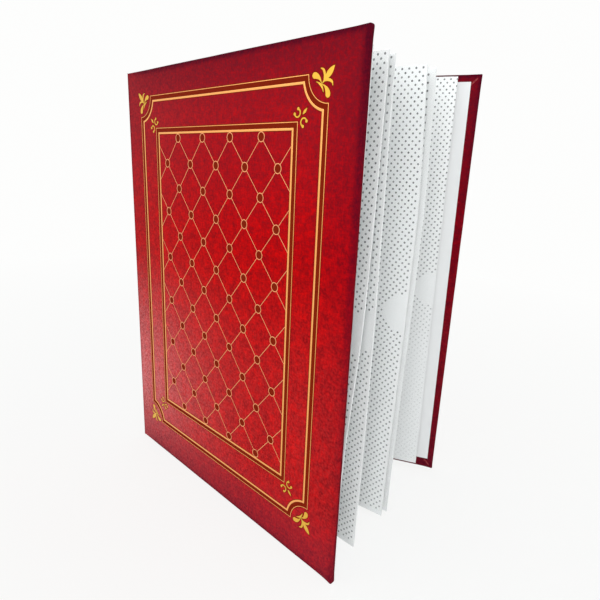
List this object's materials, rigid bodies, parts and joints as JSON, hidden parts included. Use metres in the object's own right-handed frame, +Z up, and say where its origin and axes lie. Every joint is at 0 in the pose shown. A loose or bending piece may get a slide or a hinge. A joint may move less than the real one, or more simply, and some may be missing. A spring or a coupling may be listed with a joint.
{
  "type": "stamp album",
  "caption": "Book-bound self-adhesive collecting album: red leatherette case with a gold-blocked trellis, dotted card leaves under clear film, and hinged covers and leaves.",
  "frame": {"origin": "middle of the spine's foot, on the surface the album stands on", "axes": "+X from the spine to the front cover's fore-edge, +Y from the front cover to the back cover, +Z up along the spine"},
  "size_m": [0.23, 0.1603, 0.31],
  "materials": {
    "red_leatherette": "mottled matt leatherette with a velvety sheen",
    "gold_foil": "hot-blocked gold foil",
    "greyboard": "bare greyboard",
    "endpaper": "smooth white endpaper",
    "leaf_card": "white card printed with staggered grey adhesive dots",
    "clear_film": "clear glossy film",
    "guard_cloth": "white binding cloth",
    "spacer_card": "white card strips",
    "band_cloth": "woven band",
    "gauze": "open starched gauze"
  },
  "bodies": {
    "spine": {"spine_board": "greyboard", "spine_wrap": "red_leatherette", "spine_lining": "endpaper", "spine_mull": "gauze", "spacer_strips": "spacer_card", "head_band": "band_cloth", "tail_band": "band_cloth", "leaf_1_stub": "guard_cloth", "leaf_2_stub": "guard_cloth", "leaf_3_stub": "guard_cloth", "leaf_4_stub": "guard_cloth", "leaf_5_stub": "guard_cloth", "leaf_6_stub": "guard_cloth", "leaf_7_stub": "guard_cloth"},
    "front_cover": {"front_board": "greyboard", "front_cover_wrap": "red_leatherette", "front_pastedown": "endpaper", "front_gold_rules": "gold_foil", "front_gold_trellis": "gold_foil", "front_gold_fleurons": "gold_foil"},
    "back_cover": {"back_board": "greyboard", "back_cover_wrap": "red_leatherette", "back_pastedown": "endpaper"},
    "leaf_1": {"leaf_1_card": "leaf_card", "leaf_1_guard": "guard_cloth", "leaf_1_front_film": "clear_film", "leaf_1_back_film": "clear_film"},
    "leaf_2": {"leaf_2_card": "leaf_card", "leaf_2_guard": "guard_cloth", "leaf_2_front_film": "clear_film", "leaf_2_back_film": "clear_film"},
    "leaf_3": {"leaf_3_card": "leaf_card", "leaf_3_guard": "guard_cloth", "leaf_3_front_film": "clear_film", "leaf_3_back_film": "clear_film"},
    "leaf_4": {"leaf_4_card": "leaf_card", "leaf_4_guard": "guard_cloth", "leaf_4_front_film": "clear_film", "leaf_4_back_film": "clear_film"},
    "leaf_5": {"leaf_5_card": "leaf_card", "leaf_5_guard": "guard_cloth", "leaf_5_front_film": "clear_film", "leaf_5_back_film": "clear_film"},
    "leaf_6": {"leaf_6_card": "leaf_card", "leaf_6_guard": "guard_cloth", "leaf_6_front_film": "clear_film", "leaf_6_back_film": "clear_film"},
    "leaf_7": {"leaf_7_card": "leaf_card", "leaf_7_guard": "guard_cloth", "leaf_7_front_film": "clear_film", "leaf_7_back_film": "clear_film"}
  },
  "joints": [
    {"name": "front_cover_hinge", "type": "hinge", "parent": "spine", "child": "front_cover", "pos_m": [0, -0.0276, 0.155], "axis": [0, 0, -1], "range_deg": [0, 90]},
    {"name": "back_cover_hinge", "type": "hinge", "parent": "spine", "child": "back_cover", "pos_m": [0, 0.0276, 0.155], "axis": [0, 0, 1], "range_deg": [-26.5, 63.5]},
    {"name": "leaf_1_hinge", "type": "hinge", "parent": "spine", "child": "leaf_1", "pos_m": [0.0107, -0.021, 0.155], "axis": [0, 0, -1], "range_deg": [0, 72]},
    {"name": "leaf_2_hinge", "type": "hinge", "parent": "spine", "child": "leaf_2", "pos_m": [0.0107, -0.014, 0.155], "axis": [0, 0, -1], "range_deg": [0, 54]},
    {"name": "leaf_3_hinge", "type": "hinge", "parent": "spine", "child": "leaf_3", "pos_m": [0.0107, -0.007, 0.155], "axis": [0, 0, -1], "range_deg": [0, 36]},
    {"name": "leaf_4_hinge", "type": "hinge", "parent": "spine", "child": "leaf_4", "pos_m": [0.0107, 0, 0.155], "axis": [0, 0, -1], "range_deg": [0, 18]},
    {"name": "leaf_5_hinge", "type": "hinge", "parent": "spine", "child": "leaf_5", "pos_m": [0.0107, 0.007, 0.155], "axis": [0, 0, 1], "range_deg": [-10.21, 24.45]},
    {"name": "leaf_6_hinge", "type": "hinge", "parent": "spine", "child": "leaf_6", "pos_m": [0.0107, 0.014, 0.155], "axis": [0, 0, 1], "range_deg": [-11.13, 26.67]},
    {"name": "leaf_7_hinge", "type": "hinge", "parent": "spine", "child": "leaf_7", "pos_m": [0.0107, 0.021, 0.155], "axis": [0, 0, 1], "range_deg": [-26.5, 63.5]}
  ],
  "couplings": [
    {"joint": "leaf_1_hinge", "follows": "front_cover_hinge", "ratio": 0.8},
    {"joint": "leaf_2_hinge", "follows": "front_cover_hinge", "ratio": 0.6},
    {"joint": "leaf_3_hinge", "follows": "front_cover_hinge", "ratio": 0.4},
    {"joint": "leaf_4_hinge", "follows": "front_cover_hinge", "ratio": 0.2},
    {"joint": "leaf_5_hinge", "follows": "back_cover_hinge", "ratio": 0.385},
    {"joint": "leaf_6_hinge", "follows": "back_cover_hinge", "ratio": 0.42},
    {"joint": "leaf_7_hinge", "follows": "back_cover_hinge", "ratio": 1}
  ]
}
